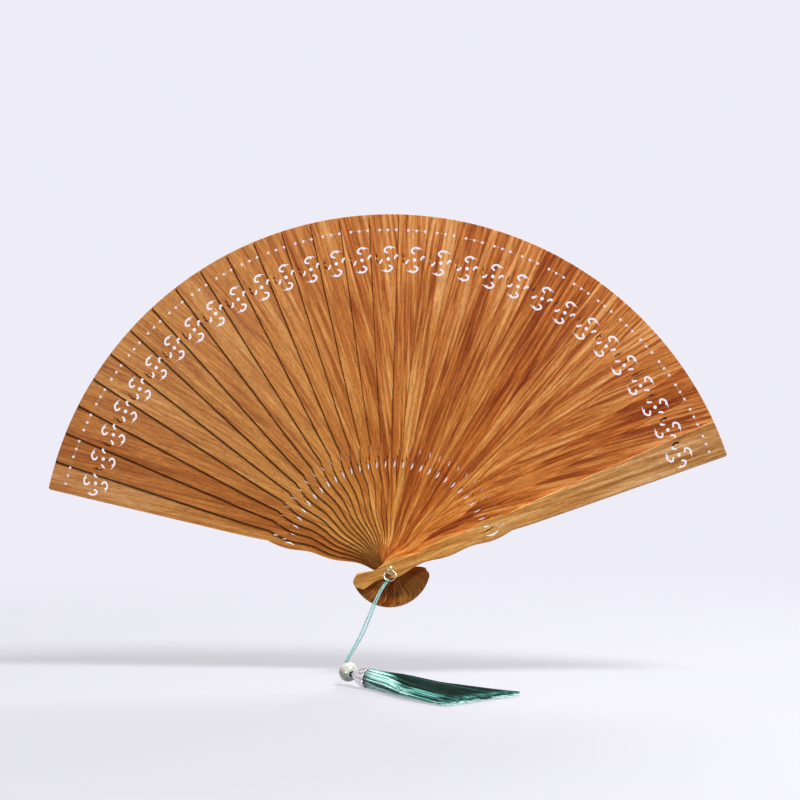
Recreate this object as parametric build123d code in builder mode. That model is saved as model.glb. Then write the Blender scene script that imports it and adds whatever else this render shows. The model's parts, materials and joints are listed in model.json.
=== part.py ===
from build123d import *
from math import cos, pi, radians, sin, sqrt, tan
import os

os.makedirs("parts", exist_ok=True)

# A pierced wooden folding fan with its tassel, standing open.
# X is right, Y is away from the front, Z is up. The origin is on the rivet's axis,
# half way through the stack of blades. Lengths are millimetres, angles are degrees.

# ---- Blades ----
STICK_COUNT = 28
STICK_THICK = 0.42
GUARD_THICK = 1.6
LAYER_GAP = 0.13  # room for the linking thread between the blades
LAYER_PITCH = STICK_THICK + LAYER_GAP
STACK_HALF = STICK_COUNT * LAYER_PITCH / 2  # rivet centre to the inside of a guard
OUTER_HALF = STACK_HALF + LAYER_GAP + GUARD_THICK  # rivet centre to a guard's outer face
BACK_GUARD_ANGLE = 164.36  # counted from +X, anticlockwise seen from the front
FRONT_GUARD_ANGLE = 21.92
STICK_BOW = 0.36  # the middle sticks lean this far towards the front guard
STICK_WANDER = 0.2  # how unevenly the thread spaces the sticks
WANDER_RATE = 0.45
WANDER_START = 0.51

BLADE_REACH = 180.0  # rivet to tip
BUTT_REACH = 20.0  # rivet to butt
TIP_HALF_WIDTH = 9.5
TIP_ROUND = 1.2
TAPER_START = (90.0, 5.8)  # the straight taper to the tip starts here
GUARD_EDGE_BREAK = 0.25  # chamfer round a guard's outer face
STICK_EDGE_BREAK = 0.12  # sanded edge round a stick's front face

# Half widths down the handle: distance from the rivet, half width.
BUTT_CORNER = (-17.6, 3.25)
HANDLE_HALF_WIDTHS = [
    BUTT_CORNER,
    (-9.0, 2.8),  # behind the boss
    (0.0, 4.8),  # boss round the rivet
    (15.0, 2.85),  # neck
    (30.0, 4.6),  # swell of the handle
    (43.0, 4.0),
    (54.0, 5.5),  # carved bulge
    (62.5, 4.75),
    TAPER_START,
]

# ---- Piercing, in a blade's own plane: X runs to the tip, Y is anticlockwise ----
THREAD_HOLES_AT = 172.0
THREAD_HOLE_SPACING = 4.25
THREAD_HOLE_RADIUS = 0.65
SCROLLS_AT = 157.3
SCROLL_DOT_RADIUS = 0.9

# ---- Rivet ----
SHANK_RADIUS = 1.0
BORE_RADIUS = 1.05
WASHER_RADIUS = 2.4
WASHER_THICK = 0.3
COUNTERBORE_RADIUS = 2.5
COUNTERBORE_DEPTH = 0.6
TAIL_RADIUS = 1.6
HEAD_RADIUS = 1.9
HEAD_HEIGHT = 0.95
EYE_CENTRE_Y = -11.3
EYE_RADIUS = 1.15
EYE_WIDTH = 1.4
EYE_HOLE_RADIUS = 0.5

# ---- Ring and hitch ----
RING_RADIUS = 3.0
RING_WIRE_RADIUS = 0.3
RING_TILT = 28.0  # the ring leans forward from hanging straight down
HITCH_ANGLE = 24.8  # the hitch sits this far left of the ring's lowest point
HITCH_RADIUS = 0.95
HITCH_WIDTH = 2.0
HITCH_BORE_RADIUS = 0.3

# ---- Tassel, lying on the table. The cord holds its bead a little above the table. ----
TABLE_Z = -55.1
BEAD_RADIUS = 4.8
BEAD_BORE_RADIUS = 1.3
BEAD_CENTRE = Vector(-19.5, -45.0, -48.1)
BORE_TURN = 65.0  # the bore points this far forward of +X
BORE_DROP = 8.0  # and this far down
CAP_GAP = 5.5  # from the bead's centre along the bore to the cap
CAP_TURN = 36.0
CAP_DROP = 6.0
CAP_LENGTH = 10.2
CAP_NECK_RADIUS = 2.0
CAP_MIDDLE_RADIUS = 3.3
CAP_RIM_RADIUS = 4.95
CAP_WALL = 0.35
KNOT_RADIUS = 1.55
KNOT_AT = 4.4  # from the cap's narrow end
BINDING_NECK_RADIUS = 2.2
BINDING_NECK_AT = KNOT_AT + KNOT_RADIUS
BINDING_RADIUS = 4.85
BINDING_LENGTH = 0.9
SKIRT_LIFT = 0.12  # keeps the lowest silk just above the table

# ---- Cord, two strands side by side ----
STRAND_RADIUS = 0.42
STRAND_APART = 0.9  # between the strands' middles
STRAND_SLACK = 0.95  # they part by this much more half way down
MIN_BEND = 6 * STRAND_RADIUS  # three diameters of a limp cord


def direction(turn, drop=0.0):
    """A direction turned forward from +X and dropped below level."""
    level = cos(radians(drop))
    return Vector(level * cos(radians(turn)), -level * sin(radians(turn)), -sin(radians(drop)))


def across(along):
    """The level direction square to another one."""
    return along.cross(Vector(0, 0, 1)).normalized()


def stick_angle(number):
    """Stick 1 lies on the back guard and the last one under the front guard."""
    share = number / (STICK_COUNT + 1)
    even = BACK_GUARD_ANGLE + (FRONT_GUARD_ANGLE - BACK_GUARD_ANGLE) * share
    return even - STICK_BOW * sin(pi * share) + STICK_WANDER * sin(WANDER_RATE * number + WANDER_START)


# ---- The blade's outline ----
taper = Vector(BLADE_REACH - TAPER_START[0], TIP_HALF_WIDTH - TAPER_START[1])
tip_corner_x = sqrt(BLADE_REACH**2 - TIP_HALF_WIDTH**2)

with BuildSketch() as blade_outline:
    with BuildLine():
        Spline(*HANDLE_HALF_WIDTHS, tangents=[(0.35, 1), (taper.X, taper.Y)])
        Line(TAPER_START, (tip_corner_x, TIP_HALF_WIDTH))
        mirror(about=Plane.XZ)
        ThreePointArc((tip_corner_x, TIP_HALF_WIDTH), (BLADE_REACH, 0), (tip_corner_x, -TIP_HALF_WIDTH))
        ThreePointArc(BUTT_CORNER, (-BUTT_REACH, 0), (BUTT_CORNER[0], -BUTT_CORNER[1]))
    make_face()
    fillet(blade_outline.vertices().group_by(Axis.X)[-1], radius=TIP_ROUND)
    Circle(BORE_RADIUS, mode=Mode.SUBTRACT)

# ---- One scroll: a hook with a thin tail and a barb inside it ----
TAIL_TIP = (5.2, -4.3)
HOOK_OUTSIDE = (2.8, 0.35)
HOOK_INSIDE = (3.7, 0.35)
BARB_TIP = (4.9, -1.6)

with BuildSketch() as scroll:
    with BuildLine():
        Spline(TAIL_TIP, (6.35, -2.0), (6.6, 0.2), (4.75, 2.3), HOOK_OUTSIDE)
        ThreePointArc(HOOK_OUTSIDE, (3.2, -0.05), HOOK_INSIDE)
        Spline(HOOK_INSIDE, (4.65, 1.25), (5.6, 0.2), (5.6, -0.9))
        Line((5.6, -0.9), BARB_TIP)
        Line(BARB_TIP, (5.75, -2.0))
        Spline((5.75, -2.0), (5.6, -3.1), TAIL_TIP)
    make_face()

# ---- The carved slots in the bulge ----
with BuildSketch() as bulge_slots:
    with BuildLine():
        ThreePointArc((51.2, -1.6), (55.1, -3.1), (59.0, -1.2))
        ThreePointArc((59.0, -1.2), (55.1, -2.2), (51.2, -1.6))
    make_face()
    with BuildLine():
        ThreePointArc((50.9, 2.9), (53.3, 1.9), (55.9, 3.3))
        ThreePointArc((55.9, 3.3), (53.3, 2.7), (50.9, 2.9))
    make_face()
    with BuildLine():
        ThreePointArc((49.9, 0.0), (54.4, 0.2), (58.4, 1.7))
        ThreePointArc((58.4, 1.7), (54.1, 0.8), (49.9, 0.0))
    make_face()
    with Locations(Location((60.3, 0.15), 12)):
        SlotOverall(4.4, 0.55)

# ---- All the holes of one blade ----
with BuildSketch() as piercing:
    with Locations((THREAD_HOLES_AT, 0)):
        with GridLocations(0, THREAD_HOLE_SPACING, 1, 3):
            Circle(THREAD_HOLE_RADIUS)
    with Locations((SCROLLS_AT, 0)):
        Circle(SCROLL_DOT_RADIUS)
        with PolarLocations(0, 4):
            add(scroll.sketch)
    add(bulge_slots.sketch)


def blade_plane(angle, back_y):
    """The plane of a blade's back face, X to its tip and Z to the front."""
    return Plane((0, back_y, 0), x_dir=(cos(radians(angle)), 0, sin(radians(angle))), z_dir=(0, -1, 0))


def save(piece, name):
    """Names a finished piece and writes its file."""
    piece.part.label = name
    export_step(piece.part, f"parts/{name}.step")


# ---- Inner sticks, from the back guard to the front guard ----
for number in range(1, STICK_COUNT + 1):
    stick_back = STACK_HALF - (number - 1) * LAYER_PITCH - LAYER_GAP / 2
    with BuildPart() as stick:
        with BuildSketch(blade_plane(stick_angle(number), stick_back)):
            add(blade_outline.sketch)
            add(piercing.sketch, mode=Mode.SUBTRACT)
        extrude(amount=STICK_THICK)
        front_face = stick.faces().sort_by(Axis.Y)[0]
        chamfer(front_face.outer_wire().edges(), STICK_EDGE_BREAK)
    save(stick, f"stick_{number:02d}")

# ---- Guards ----
with BuildPart() as back_guard:
    with BuildSketch(blade_plane(BACK_GUARD_ANGLE, OUTER_HALF)):
        add(blade_outline.sketch)
        add(piercing.sketch, mode=Mode.SUBTRACT)
    extrude(amount=GUARD_THICK)
    outer_face = back_guard.faces().sort_by(Axis.Y)[-1]
    chamfer(outer_face.outer_wire().edges(), GUARD_EDGE_BREAK)
    with Locations(Plane((0, OUTER_HALF, 0), x_dir=(1, 0, 0), z_dir=(0, 1, 0))):
        CounterBoreHole(BORE_RADIUS, COUNTERBORE_RADIUS, COUNTERBORE_DEPTH)
save(back_guard, "back_guard")

with BuildPart() as front_guard:
    with BuildSketch(blade_plane(FRONT_GUARD_ANGLE, -STACK_HALF - LAYER_GAP)):
        add(blade_outline.sketch)
        add(piercing.sketch, mode=Mode.SUBTRACT)
    extrude(amount=GUARD_THICK)
    outer_face = front_guard.faces().sort_by(Axis.Y)[0]
    chamfer(outer_face.outer_wire().edges(), GUARD_EDGE_BREAK)
save(front_guard, "front_guard")

# ---- Eye rivet: tail in the back guard's counterbore, head and eye in front ----
washer_seat = OUTER_HALF - COUNTERBORE_DEPTH
tail_seat = washer_seat + WASHER_THICK
head_seat = -OUTER_HALF - WASHER_THICK

with BuildPart() as rivet_pin:
    with BuildSketch(Plane.XY):
        with BuildLine():
            Polyline(
                (0, OUTER_HALF),
                (TAIL_RADIUS, OUTER_HALF),
                (TAIL_RADIUS, tail_seat),
                (SHANK_RADIUS, tail_seat),
                (SHANK_RADIUS, head_seat),
                (HEAD_RADIUS, head_seat),
                (HEAD_RADIUS, head_seat - 0.2),
            )
            ThreePointArc(
                (HEAD_RADIUS, head_seat - 0.2),
                (HEAD_RADIUS * 0.72, head_seat - HEAD_HEIGHT * 0.75),
                (0, head_seat - HEAD_HEIGHT),
            )
            Line((0, head_seat - HEAD_HEIGHT), (0, OUTER_HALF))
        make_face()
    revolve(axis=Axis.Y)
    with BuildSketch(Plane.YZ):
        with Locations((EYE_CENTRE_Y, 0)):
            Circle(EYE_RADIUS)
    extrude(amount=EYE_WIDTH / 2, both=True)
    with BuildSketch(Plane.YZ):
        with Locations((EYE_CENTRE_Y, 0)):
            Circle(EYE_HOLE_RADIUS)
    extrude(amount=EYE_WIDTH, both=True, mode=Mode.SUBTRACT)
save(rivet_pin, "rivet_pin")

for name, washer_back in (("back_washer", tail_seat), ("front_washer", -OUTER_HALF)):
    with BuildPart() as washer:
        with BuildSketch(Plane((0, washer_back, 0), x_dir=(1, 0, 0), z_dir=(0, -1, 0))):
            Circle(WASHER_RADIUS)
            Circle(BORE_RADIUS, mode=Mode.SUBTRACT)
        extrude(amount=WASHER_THICK)
    save(washer, name)

# ---- Hanging ring, through the eye ----
eye = Vector(0, EYE_CENTRE_Y, 0)
ring_down = Vector(0, -sin(radians(RING_TILT)), -cos(radians(RING_TILT)))
ring_centre = eye + ring_down * RING_RADIUS
ring_normal = Vector(1, 0, 0).cross(ring_down)

with BuildPart(Plane(ring_centre, x_dir=(1, 0, 0), z_dir=ring_normal)) as hanging_ring:
    Torus(RING_RADIUS, RING_WIRE_RADIUS)
save(hanging_ring, "hanging_ring")

# ---- Hitch: the cord's middle looped round the ring ----
hitch_out = ring_down * cos(radians(HITCH_ANGLE)) + Vector(-sin(radians(HITCH_ANGLE)), 0, 0)
hitch_centre = ring_centre + hitch_out * RING_RADIUS
hitch_along = hitch_out.cross(ring_normal)

with BuildPart() as cord_hitch:
    with BuildSketch(Plane(hitch_centre, x_dir=hitch_out, z_dir=hitch_along)):
        Circle(HITCH_RADIUS)
        Circle(HITCH_BORE_RADIUS, mode=Mode.SUBTRACT)
    extrude(amount=HITCH_WIDTH / 2, both=True)
save(cord_hitch, "cord_hitch")

# ---- Bead ----
bore = direction(BORE_TURN, BORE_DROP)

with BuildPart(Plane(BEAD_CENTRE, x_dir=across(bore), z_dir=bore)) as bead:
    Sphere(BEAD_RADIUS)
    Cylinder(BEAD_BORE_RADIUS, 3 * BEAD_RADIUS, mode=Mode.SUBTRACT)
save(bead, "bead")

# ---- Cap: a thin metal bell over the tassel's head, a little out of line with the bead ----
cap_along = direction(CAP_TURN, CAP_DROP)
cap_start = BEAD_CENTRE + bore * CAP_GAP


def cap_plane(distance):
    """A plane square to the cap's axis, this far from its narrow end."""
    return Plane(cap_start + cap_along * distance, x_dir=across(cap_along), z_dir=cap_along)


with BuildPart() as tassel_cap:
    with BuildSketch(Plane(cap_start, x_dir=cap_along, z_dir=across(cap_along))):
        with BuildLine():
            Spline((0, CAP_NECK_RADIUS), (CAP_LENGTH * 0.5, CAP_MIDDLE_RADIUS), (CAP_LENGTH, CAP_RIM_RADIUS))
            Line((CAP_LENGTH, CAP_RIM_RADIUS), (CAP_LENGTH, CAP_RIM_RADIUS - CAP_WALL))
            Spline(
                (CAP_LENGTH, CAP_RIM_RADIUS - CAP_WALL),
                (CAP_LENGTH * 0.5, CAP_MIDDLE_RADIUS - CAP_WALL),
                (0.6, CAP_NECK_RADIUS - CAP_WALL),
            )
            Polyline(
                (0.6, CAP_NECK_RADIUS - CAP_WALL),
                (0.6, BEAD_BORE_RADIUS),
                (0, BEAD_BORE_RADIUS),
                (0, CAP_NECK_RADIUS),
            )
        make_face()
    revolve(axis=Axis(cap_start, cap_along))
save(tassel_cap, "tassel_cap")

# ---- Knot that stops the cord inside the cap ----
with BuildPart(cap_plane(KNOT_AT)) as stopper_knot:
    Sphere(KNOT_RADIUS)
save(stopper_knot, "stopper_knot")

# ---- Binding: the tied head of the silk, inside the cap and just out of it ----
with BuildPart() as tassel_binding:
    with BuildSketch(cap_plane(BINDING_NECK_AT)):
        Circle(BINDING_NECK_RADIUS)
    extrude(amount=CAP_LENGTH - BINDING_NECK_AT)
    with BuildSketch(cap_plane(CAP_LENGTH)):
        Circle(BINDING_RADIUS)
    extrude(amount=BINDING_LENGTH)
save(tassel_binding, "tassel_binding")

# ---- Skirt: silk that fans out and flattens on the table ----
# Each section past the binding: its middle's place right and forward of the skirt's start,
# how far it is turned forward of +X, its half width and its half height.
SKIRT_SECTIONS = [
    (13.9, 12.6, 46.0, 10.6, 4.3),
    (28.4, 26.0, 45.0, 17.0, 2.9),
    (55.2, 48.6, 38.0, 29.0, 1.3),
]
skirt_start = cap_start + cap_along * (CAP_LENGTH + BINDING_LENGTH)

with BuildPart() as tassel_skirt:
    with BuildSketch(cap_plane(CAP_LENGTH + BINDING_LENGTH)):
        Circle(BINDING_RADIUS)
    for right, forward, turn, half_width, half_height in SKIRT_SECTIONS:
        middle = Vector(
            skirt_start.X + right,
            skirt_start.Y - forward,
            TABLE_Z + half_height + SKIRT_LIFT,
        )
        facing = direction(turn)
        with BuildSketch(Plane(middle, x_dir=across(facing), z_dir=facing)):
            Ellipse(half_width, half_height)
    loft()
save(tassel_skirt, "tassel_skirt")

# ---- Cord: from the hitch down to the bead, through it, and into the knot ----
# The middle line of the two strands. It hangs almost straight, then turns into the bore.
strand_start = hitch_centre + hitch_out * (HITCH_RADIUS * 0.6)
knot_face = cap_start + cap_along * (KNOT_AT - KNOT_RADIUS * 0.8)
BORE_POINTS = 3  # the last points but one lie on the bore's line
CORD_ROUTE = [
    strand_start,
    Vector(-4.4, -16.6, -9.6),
    Vector(-6.9, -19.6, -14.7),
    Vector(-8.9, -22.6, -19.7),
    Vector(-10.8, -25.3, -24.2),
    Vector(-12.6, -27.9, -28.8),
    Vector(-14.9, -30.8, -33.5),
    Vector(-17.8, -33.6, -38.3),
    Vector(-20.7, -36.4, -43.0),
    BEAD_CENTRE - bore * 6.8,
    BEAD_CENTRE - bore * 1.2 + Vector(0, 0, 0.12),
    BEAD_CENTRE + bore * 5.0,
    knot_face,
]


def strand_route(side):
    """The cord's route moved half a strand's spacing to one side, further where it hangs slack."""
    first_inside = len(CORD_ROUTE) - 1 - BORE_POINTS
    points = []
    for index, point in enumerate(CORD_ROUTE):
        inside = index >= first_inside
        sideways = across(bore) * -1 if inside else Vector(0.93, -0.37, 0)
        slack = 1.0 if inside else 1.0 + STRAND_SLACK * sin(pi * index / first_inside) ** 2
        points.append(point + sideways * (side * slack * STRAND_APART / 2))
    return points


def corner_radii(points):
    """At each corner, 0.45 of the shorter run over the tangent of half the turn."""
    radii = []
    for before, corner, after in zip(points, points[1:], points[2:]):
        run_in = corner - before
        run_out = after - corner
        turn = run_in.get_angle(run_out)
        radii.append(0.45 * min(run_in.length, run_out.length) / tan(radians(turn / 2)))
    return radii


for name, side in (("cord_strand_left", -1), ("cord_strand_right", 1)):
    route = strand_route(side)
    radii = corner_radii(route)
    runs = [(after - before).length for before, after in zip(route, route[1:])]
    with BuildPart() as strand:
        with BuildLine() as path:
            FilletPolyline(*route, radius=radii)
        with BuildSketch(Plane(path.line @ 0, z_dir=path.line % 0)):
            Circle(STRAND_RADIUS)
        sweep()
    save(strand, name)
    print(name, "route", [tuple(round(c, 2) for c in point) for point in route])
    print(name, "runs", [round(run, 2) for run in runs])
    print(name, "radii", [round(radius, 2) for radius in radii], "least wanted", MIN_BEND)
    length = path.wires()[0].length
    print(name, "length", round(length, 2), "volume", round(strand.part.volume, 3))
    print(name, "section times length", round(pi * STRAND_RADIUS**2 * length, 3))
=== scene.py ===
# %% [markdown]
# # A pierced wooden folding fan with a silk tassel
#
# This lesson dresses a finished CAD model of a folding fan. The carved outlines are right, so the
# blades keep their CAD meshes and only get wood. What a CAD solid can't say, such as silk, a
# knotted cord or a fluted cap, is modelled here over its node.

# %% Load the frame
import json
import math
import random

import bmesh
import bpy
from mathutils import Matrix, Vector


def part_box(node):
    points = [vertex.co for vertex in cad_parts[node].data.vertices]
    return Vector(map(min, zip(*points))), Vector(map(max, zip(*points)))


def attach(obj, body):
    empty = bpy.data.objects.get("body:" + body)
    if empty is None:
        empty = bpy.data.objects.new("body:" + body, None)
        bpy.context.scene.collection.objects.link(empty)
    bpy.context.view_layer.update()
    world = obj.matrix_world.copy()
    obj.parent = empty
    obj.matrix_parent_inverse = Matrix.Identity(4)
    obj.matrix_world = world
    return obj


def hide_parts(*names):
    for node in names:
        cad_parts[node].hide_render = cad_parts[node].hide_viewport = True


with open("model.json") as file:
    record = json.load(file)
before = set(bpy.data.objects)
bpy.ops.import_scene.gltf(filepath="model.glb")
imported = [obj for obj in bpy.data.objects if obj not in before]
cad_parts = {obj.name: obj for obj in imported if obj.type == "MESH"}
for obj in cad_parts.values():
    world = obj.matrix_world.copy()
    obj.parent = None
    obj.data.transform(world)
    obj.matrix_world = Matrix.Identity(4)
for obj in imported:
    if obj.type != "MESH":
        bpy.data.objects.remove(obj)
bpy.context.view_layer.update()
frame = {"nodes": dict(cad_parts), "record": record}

MM = 0.001
UP = Vector((0, 0, 1))
record = frame["record"]
nodes = frame["nodes"]
bpy.ops.object.select_all(action="DESELECT")
print("CAD nodes", len(nodes))

# %% [markdown]
# ## Camera
#
# A product shot of a fan is taken from far away with a long lens, so that the blades at both ends
# look alike. The fan stands upright and the camera looks at it from just above the rivet and
# slightly from the right, which shows a little of the stack's thickness. The lens follows from
# the distance and the width that the picture covers at the fan. The standard view keeps the
# colours of wood and silk as they are mixed below.

# %% Camera
CAMERA_DISTANCE = 2.2
CAMERA_TURN = math.radians(2.0)
CAMERA_RISE = math.radians(2.8)
VIEW_WIDTH = 0.4063
SENSOR_MM = 36.0
view_centre = Vector((0.00463, 0.0, 0.0857))

look_back = Vector((
    math.sin(CAMERA_TURN) * math.cos(CAMERA_RISE),
    -math.cos(CAMERA_TURN) * math.cos(CAMERA_RISE),
    math.sin(CAMERA_RISE),
))
camera_data = bpy.data.cameras.new("camera")
camera_data.sensor_width = SENSOR_MM
camera_data.lens = SENSOR_MM * CAMERA_DISTANCE / VIEW_WIDTH
camera_data.clip_start = 0.05
camera_data.clip_end = 20.0
camera = bpy.data.objects.new("camera", camera_data)
camera.location = view_centre + look_back * CAMERA_DISTANCE
camera.rotation_euler = look_back.to_track_quat("Z", "Y").to_euler()
bpy.context.scene.collection.objects.link(camera)
bpy.context.scene.camera = camera
bpy.context.scene.view_settings.view_transform = "Standard"
print("lens", round(camera_data.lens, 1), "mm")

# %% [markdown]
# ## Small tools
#
# A few helpers do the dull work. `linear` turns a hex colour, as a paint chart gives it, into the
# linear numbers that a shader wants. `add_node` makes one shader node with its settings and its
# inputs, each a value or the socket that feeds it; a colour ramp also gets its stops. `finished`
# gives a new piece its material, its slot and its body, and `dress` gives a CAD piece a material.

# %% Helpers
def linear(hex_colour):
    """A hex sRGB colour as linear RGBA."""
    channels = [int(hex_colour[i:i + 2], 16) / 255 for i in (1, 3, 5)]
    light = [c / 12.92 if c <= 0.04045 else ((c + 0.055) / 1.055) ** 2.4 for c in channels]
    return (*light, 1.0)


def new_material(name):
    """An empty node material: itself, its tree and its principled shader."""
    material = bpy.data.materials.new(name)
    material.use_nodes = True
    return material, material.node_tree, material.node_tree.nodes["Principled BSDF"]


def add_node(tree, kind, settings, inputs, stops=()):
    """Adds a node with its own settings, and gives each input a value or another node's socket.

    A colour ramp's stops are pairs of a place from 0 to 1 and a hex colour.
    """
    node = tree.nodes.new(kind)
    for key, value in settings.items():
        setattr(node, key, value)
    for key, value in inputs.items():
        if isinstance(value, bpy.types.NodeSocket):
            tree.links.new(value, node.inputs[key])
        else:
            node.inputs[key].default_value = value
    for _ in stops[2:]:
        node.color_ramp.elements.new(0.5)
    if stops:
        for element, (place, colour) in zip(node.color_ramp.elements, stops):
            element.position = place
            element.color = linear(colour)
    return node


def set_shader(shader, values):
    """Puts constants on the shader's own sockets."""
    for key, value in values.items():
        shader.inputs[key].default_value = value


def finished(piece, body, material):
    """Gives a piece its material and slot, and lets it ride on a body."""
    piece.data.materials.clear()
    piece.data.materials.append(material)
    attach(piece, body)
    return piece


def dress(node, material):
    """Puts a material on a CAD piece."""
    piece = nodes[node]
    if piece.material_slots:
        for material_slot in piece.material_slots:
            material_slot.material = material
    else:
        piece.data.materials.append(material)


print("mid grey #808080 is", round(linear("#808080")[0], 3), "in linear light")

# %% [markdown]
# ## Where things are
#
# The record says how far each stick turns when the fan closes, and that gives each blade's angle
# in the open fan, counted from level on the right. The back guard stands still. The tassel's
# places follow from the bead's box and from two directions, in degrees turned forward and dropped
# below level: one for the bead's bore and one for the cap, which has slipped out of line with it.

# %% Places read from the frame
BACK_GUARD_ANGLE = 164.36
couplings = {c["joint"]: c["ratio"] for c in record["behaviour"]["couplings"]}
fold = next(j for j in record["behaviour"]["joints"] if j["name"] == "fan_fold")
span = fold["range_deg"][1]
stick_names = sorted(n for n in nodes if n.startswith("stick_"))
blade_angles = {"back_guard": BACK_GUARD_ANGLE}
for name in stick_names:
    blade_angles[name] = BACK_GUARD_ANGLE - span * couplings[f"{name}_fold"]
blade_angles["front_guard"] = BACK_GUARD_ANGLE - span


def pointing(turn, drop):
    """A direction turned forward from +X and dropped below level, in degrees."""
    level = math.cos(math.radians(drop))
    return Vector((
        level * math.cos(math.radians(turn)),
        -level * math.sin(math.radians(turn)),
        -math.sin(math.radians(drop)),
    ))


BEAD_TO_CAP = 5.5 * MM
CAP_LENGTH = 10.2 * MM
SKIRT_CLEARANCE = 0.12 * MM
bead_low, bead_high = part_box("bead")
bead_centre = (bead_low + bead_high) / 2
bead_radius = (bead_high.z - bead_low.z) / 2
bore_along = pointing(65.0, 8.0)
cap_along = pointing(36.0, 6.0)
cap_start = bead_centre + bore_along * BEAD_TO_CAP
table_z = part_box("tassel_skirt")[0].z - SKIRT_CLEARANCE
print("blades", len(blade_angles), "bead", [round(c / MM, 1) for c in bead_centre],
      "table", round(table_z / MM, 2), "mm")

# %% [markdown]
# ## The cord
#
# The cord is one length of fine twisted silk, doubled: its middle is looped round the ring, and
# its two halves hang side by side to the bead, pass through it and end in a knot in the cap. Each
# half's route is a short list of places in millimetres, about 6 mm apart. They run together down
# the front, part a little in the middle, and turn forward where they go into the bead.

# %% Cord routes
CORD_DIAMETER = 0.84 * MM
LEFT_ROUTE = [
    (-1.92, -14.06, -5.51),
    (-4.87, -16.41, -9.6),
    (-7.48, -19.37, -14.7),
    (-9.62, -22.31, -19.7),
    (-11.6, -24.98, -24.2),
    (-13.4, -27.58, -28.8),
    (-15.62, -30.51, -33.5),
    (-18.38, -33.37, -38.3),
    (-21.17, -36.21, -43.0),
    (-22.75, -39.09, -47.15),
    (-20.41, -44.11, -47.81),
    (-17.82, -49.68, -48.8),
    (-15.06, -51.97, -49.2),
]
RIGHT_ROUTE = [
    (-1.08, -14.4, -5.51),
    (-3.93, -16.79, -9.6),
    (-6.32, -19.83, -14.7),
    (-8.18, -22.89, -19.7),
    (-10.0, -25.62, -24.2),
    (-11.8, -28.22, -28.8),
    (-14.18, -31.09, -33.5),
    (-17.22, -33.83, -38.3),
    (-20.23, -36.59, -43.0),
    (-21.94, -38.71, -47.15),
    (-19.59, -43.73, -47.81),
    (-17.0, -49.3, -48.8),
    (-14.25, -51.59, -49.2),
]
print("cord routes", len(LEFT_ROUTE), "and", len(RIGHT_ROUTE), "places")

# %% [markdown]
# ## Tubes that follow a line
#
# Each route becomes a smooth spline with its places as control points, and the points that the
# spline gives are spaced evenly. A plain round tube along them would look like wire. A laid cord
# is two plies that twist round each other, so its outline is a little oval and turns as it goes.
# Two directions square to the line are carried from ring to ring, so that nothing else twists it.
# The tube's UV map runs once round it and in millimetres along it, ready for the silk.

# %% Tubes
SPLINE_STEPS = 14


def smooth_line(name, route_mm):
    """The points of a NURBS spline through the route, in metres."""
    data = bpy.data.curves.new(name + "_route", "CURVE")
    data.dimensions = "3D"
    data.resolution_u = SPLINE_STEPS
    spline = data.splines.new("NURBS")
    spline.points.add(len(route_mm) - 1)
    for point, place in zip(spline.points, route_mm):
        point.co = (*(c * MM for c in place), 1.0)
    spline.order_u = 3
    spline.use_endpoint_u = True
    curve = bpy.data.objects.new(name + "_route", data)
    bpy.context.scene.collection.objects.link(curve)
    bpy.context.view_layer.update()
    mesh = bpy.data.meshes.new_from_object(curve)
    line = [v.co.copy() for v in mesh.vertices]
    bpy.data.objects.remove(curve)
    bpy.data.meshes.remove(mesh)
    return line


def evenly(line, step):
    """The same line with its points a fixed step apart."""
    points = [line[0].copy()]
    needed = step
    for before, after in zip(line, line[1:]):
        run = (after - before).length
        travelled = 0.0
        while run - travelled >= needed:
            travelled += needed
            points.append(before.lerp(after, travelled / run))
            needed = step
        needed -= run - travelled
    points.append(line[-1].copy())
    return points


def frames_along(line):
    """At each point, two directions square to the line that turn as little as they can."""
    frames = []
    side = Vector((0.3, 0.5, 1)).cross(line[1] - line[0]).normalized()
    for index in range(len(line)):
        forward = (line[min(index + 1, len(line) - 1)] - line[max(index - 1, 0)]).normalized()
        side = (side - forward * side.dot(forward)).normalized()
        frames.append((side.copy(), forward.cross(side)))
    return frames


def skin(mesh, rings, along):
    """Joins rings of vertices into a closed tube, with a UV map once round it and along it."""
    uv = mesh.loops.layers.uv.verify()
    sides = len(rings[0])
    for index, (ring, following) in enumerate(zip(rings, rings[1:])):
        for corner in range(sides):
            after = (corner + 1) % sides
            face = mesh.faces.new((ring[corner], ring[after], following[after], following[corner]))
            face.smooth = True
            places = [(corner, index), (corner + 1, index),
                      (corner + 1, index + 1), (corner, index + 1)]
            for loop, (around, number) in zip(face.loops, places):
                loop[uv].uv = (around / sides, along[number])
    mesh.faces.new(list(reversed(rings[0])))
    mesh.faces.new(rings[-1])


def add_tube(mesh, line, outline, sides, twist_pitch):
    """Adds a closed tube along a line: outline(angle) is its radius, turned once in each pitch."""
    rings, travelled = [], [0.0]
    for index, (point, (side, up)) in enumerate(zip(line, frames_along(line))):
        if index:
            travelled.append(travelled[-1] + (point - line[index - 1]).length)
        turn = 2 * math.pi * travelled[-1] / twist_pitch
        ring = []
        for corner in range(sides):
            angle = 2 * math.pi * corner / sides
            outward = side * math.cos(angle) + up * math.sin(angle)
            ring.append(mesh.verts.new(point + outward * outline(angle + turn)))
        rings.append(ring)
    skin(mesh, rings, [distance / MM for distance in travelled])


def mesh_piece(name, mesh):
    """Turns a bmesh into a piece at the origin."""
    data = bpy.data.meshes.new(name)
    mesh.to_mesh(data)
    mesh.free()
    piece = bpy.data.objects.new(name, data)
    bpy.context.scene.collection.objects.link(piece)
    return piece


def two_ply(radius):
    """The outline of two plies side by side: full width across both, narrower between them."""
    return lambda angle: radius * (0.78 + 0.22 * abs(math.cos(angle)))


print("a two-ply cord of radius 1 is", two_ply(1)(math.pi / 2), "between its plies")

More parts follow.
